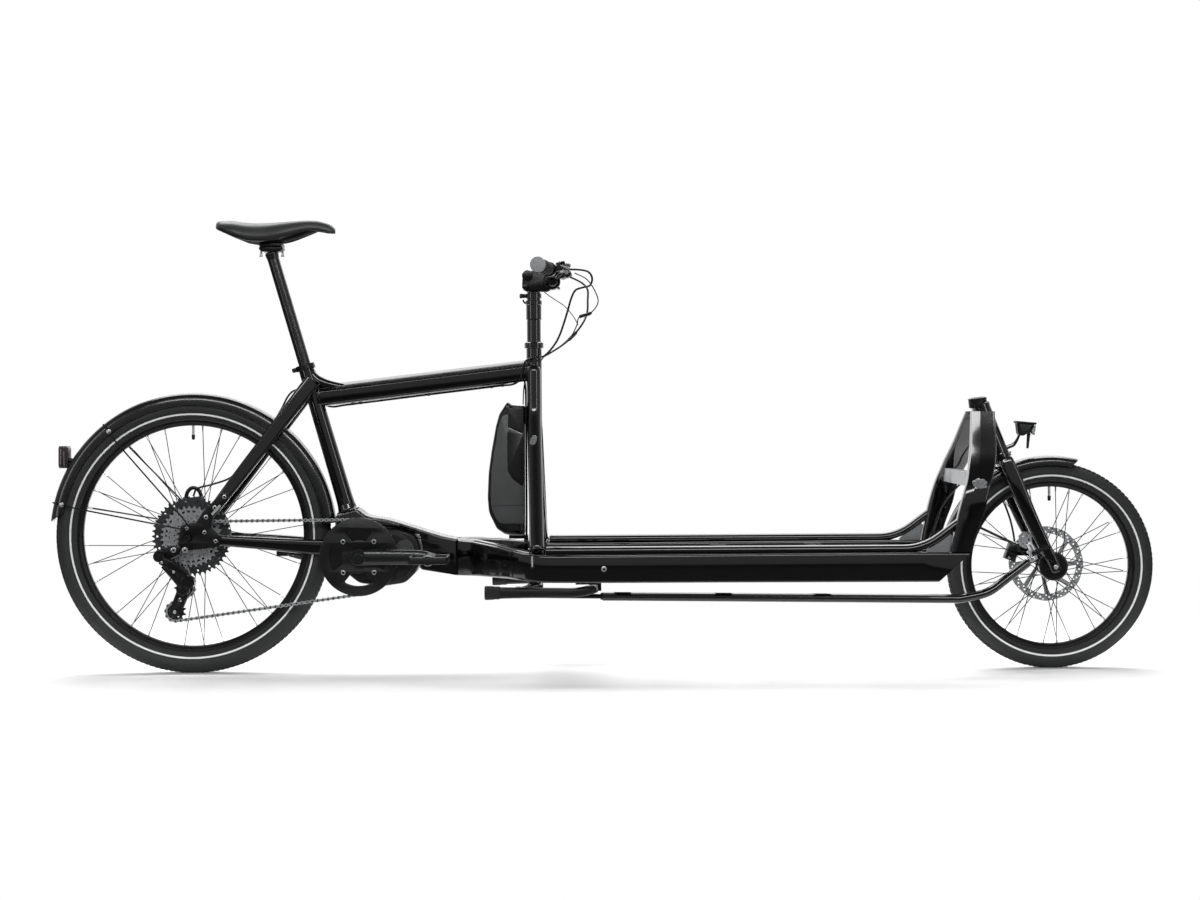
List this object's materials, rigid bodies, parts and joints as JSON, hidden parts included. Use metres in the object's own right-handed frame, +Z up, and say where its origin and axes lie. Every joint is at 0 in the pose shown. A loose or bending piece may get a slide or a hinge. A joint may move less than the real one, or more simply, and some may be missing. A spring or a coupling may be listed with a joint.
{
  "type": "electric cargo bike",
  "caption": "Black long-john electric cargo bike: low open deck between the rider and a small front wheel, mid motor, upright battery, linkage steering and a folded two-leg stand.",
  "frame": {"origin": "on the ground, at mid-length of the bike and on its centre plane", "axes": "+X forwards to the small front wheel, +Y to the rider's left, +Z up; the chain is on the -Y side"},
  "size_m": [2.6494, 0.6288, 1.0868],
  "materials": {
    "gloss_black_paint": "gloss black powder coat on the frame and fork",
    "black_anodised": "satin black anodised or painted aluminium",
    "tyre_rubber": "black tyre rubber",
    "black_plastic": "moulded black plastic",
    "bright_steel": "bright steel",
    "bare_aluminium": "bare brushed aluminium",
    "battery_grey": "dark grey battery case",
    "lens_red": "dark red lamp lens"
  },
  "bodies": {
    "frame": {"seat_tube": "gloss_black_paint", "seat_collar": "black_anodised", "top_tube": "gloss_black_paint", "head_tube": "gloss_black_paint", "column_leg_right": "gloss_black_paint", "column_leg_left": "gloss_black_paint", "deck_beam_right": "gloss_black_paint", "deck_beam_left": "gloss_black_paint", "upright_right": "gloss_black_paint", "upright_left": "gloss_black_paint", "chainstay_right": "gloss_black_paint", "chainstay_left": "gloss_black_paint", "seatstay_right": "gloss_black_paint", "seatstay_left": "gloss_black_paint", "main_beam": "gloss_black_paint", "cross_member_rear": "gloss_black_paint", "cross_member_middle": "gloss_black_paint", "cross_member_front": "gloss_black_paint", "column_bridge": "gloss_black_paint", "cross_plate": "bare_aluminium", "fork_head_tube": "gloss_black_paint", "motor": "black_plastic", "battery": "battery_grey", "rear_mudguard": "black_plastic", "rear_light": "lens_red", "chain": "bright_steel", "derailleur": "black_anodised", "rear_axle": "bright_steel", "stand_bracket": "black_anodised", "rear_caliper": "black_anodised", "brake_hose_rear": "black_plastic", "brake_hose_front": "black_plastic"},
    "rear_wheel_set": {"rear_tyre": "tyre_rubber", "rear_wheel": "black_anodised", "rear_rotor": "bright_steel"},
    "cassette_body": {"cassette": "bright_steel"},
    "crankset": {"crank_right": "black_anodised", "crank_left": "black_anodised"},
    "pedal_right_body": {"pedal_right": "black_anodised"},
    "pedal_left_body": {"pedal_left": "black_anodised"},
    "jockey_guide_body": {"jockey_guide": "black_plastic"},
    "jockey_tension_body": {"jockey_tension": "black_plastic"},
    "steering": {"steering_column": "black_anodised"},
    "bars": {"stem": "black_anodised", "handlebar": "black_anodised", "brake_control_right": "black_plastic", "brake_control_left": "black_plastic"},
    "lever_right": {"brake_lever_right": "black_anodised"},
    "lever_left": {"brake_lever_left": "black_anodised"},
    "fork_set": {"fork": "gloss_black_paint", "front_mudguard": "black_plastic", "headlight": "black_plastic", "front_caliper": "black_anodised"},
    "front_wheel_set": {"front_tyre": "tyre_rubber", "front_wheel": "black_anodised", "front_rotor": "bright_steel"},
    "rod": {"tie_rod": "gloss_black_paint"},
    "stand": {"kickstand": "black_plastic"},
    "seat": {"seat_post": "black_anodised", "saddle": "black_plastic"}
  },
  "joints": [
    {"name": "rear_wheel_spin", "type": "hinge", "parent": "frame", "child": "rear_wheel_set", "pos_m": [-0.982, 0, 0.33], "axis": [0, 1, 0], "continuous": true},
    {"name": "cassette_spin", "type": "hinge", "parent": "frame", "child": "cassette_body", "pos_m": [-0.982, 0, 0.33], "axis": [0, 1, 0], "continuous": true},
    {"name": "crank_spin", "type": "hinge", "parent": "frame", "child": "crankset", "pos_m": [-0.579, 0, 0.28], "axis": [0, 1, 0], "continuous": true},
    {"name": "pedal_right_spin", "type": "hinge", "parent": "crankset", "child": "pedal_right_body", "pos_m": [-0.404, -0.1, 0.28], "axis": [0, 1, 0], "continuous": true},
    {"name": "pedal_left_spin", "type": "hinge", "parent": "crankset", "child": "pedal_left_body", "pos_m": [-0.754, 0.1, 0.28], "axis": [0, 1, 0], "continuous": true},
    {"name": "jockey_guide_spin", "type": "hinge", "parent": "frame", "child": "jockey_guide_body", "pos_m": [-0.994, -0.053, 0.209], "axis": [0, 1, 0], "continuous": true},
    {"name": "jockey_tension_spin", "type": "hinge", "parent": "frame", "child": "jockey_tension_body", "pos_m": [-1.017, -0.053, 0.152], "axis": [0, 1, 0], "continuous": true},
    {"name": "handlebar_steer", "type": "hinge", "parent": "frame", "child": "steering", "pos_m": [-0.16, 0, 0.7], "axis": [0, 0, 1], "range_deg": [-25, 25], "deforming": ["brake_hose_rear", "brake_hose_front"]},
    {"name": "stem_height", "type": "slide", "parent": "steering", "child": "bars", "axis": [0, 0, 1], "range_m": [0, 0.08], "deforming": ["brake_hose_rear", "brake_hose_front"]},
    {"name": "lever_right_pull", "type": "hinge", "parent": "bars", "child": "lever_right", "pos_m": [-0.07467, -0.17551, 0.96231], "axis": [0.1191, 0, -0.9929], "range_deg": [0, 15], "stiffness_Nm_per_rad": 2, "springref_deg": -11.46},
    {"name": "lever_left_pull", "type": "hinge", "parent": "bars", "child": "lever_left", "pos_m": [-0.07467, 0.17551, 0.96231], "axis": [-0.1191, 0, 0.9929], "range_deg": [0, 15], "stiffness_Nm_per_rad": 2, "springref_deg": -11.46},
    {"name": "fork_steer", "type": "hinge", "parent": "frame", "child": "fork_set", "pos_m": [0.913, 0, 0.635], "axis": [-0.3665, 0, 0.9304], "range_deg": [-25.5, 25.5], "deforming": ["brake_hose_front"]},
    {"name": "front_wheel_spin", "type": "hinge", "parent": "fork_set", "child": "front_wheel_set", "pos_m": [1.079, 0, 0.247], "axis": [0, 1, 0], "continuous": true},
    {"name": "tie_rod_swing", "type": "hinge", "parent": "steering", "child": "rod", "pos_m": [-0.198, -0.107, 0.19], "axis": [0, 0.033, 0.9995], "range_deg": [-25.5, 25.5]},
    {"name": "stand_swing", "type": "hinge", "parent": "frame", "child": "stand", "pos_m": [-0.016, 0, 0.2145], "axis": [0, -1, 0], "range_deg": [0, 110]},
    {"name": "seat_height", "type": "slide", "parent": "frame", "child": "seat", "axis": [-0.2794, 0, 0.9602], "range_m": [-0.2, 0.035]}
  ],
  "couplings": [
    {"joint": "cassette_spin", "follows": "crank_spin", "ratio": 2.4444},
    {"joint": "jockey_guide_spin", "follows": "crank_spin", "ratio": -4},
    {"joint": "jockey_tension_spin", "follows": "crank_spin", "ratio": 4},
    {"joint": "fork_steer", "follows": "handlebar_steer", "ratio": 1},
    {"joint": "tie_rod_swing", "follows": "handlebar_steer", "ratio": -1}
  ]
}
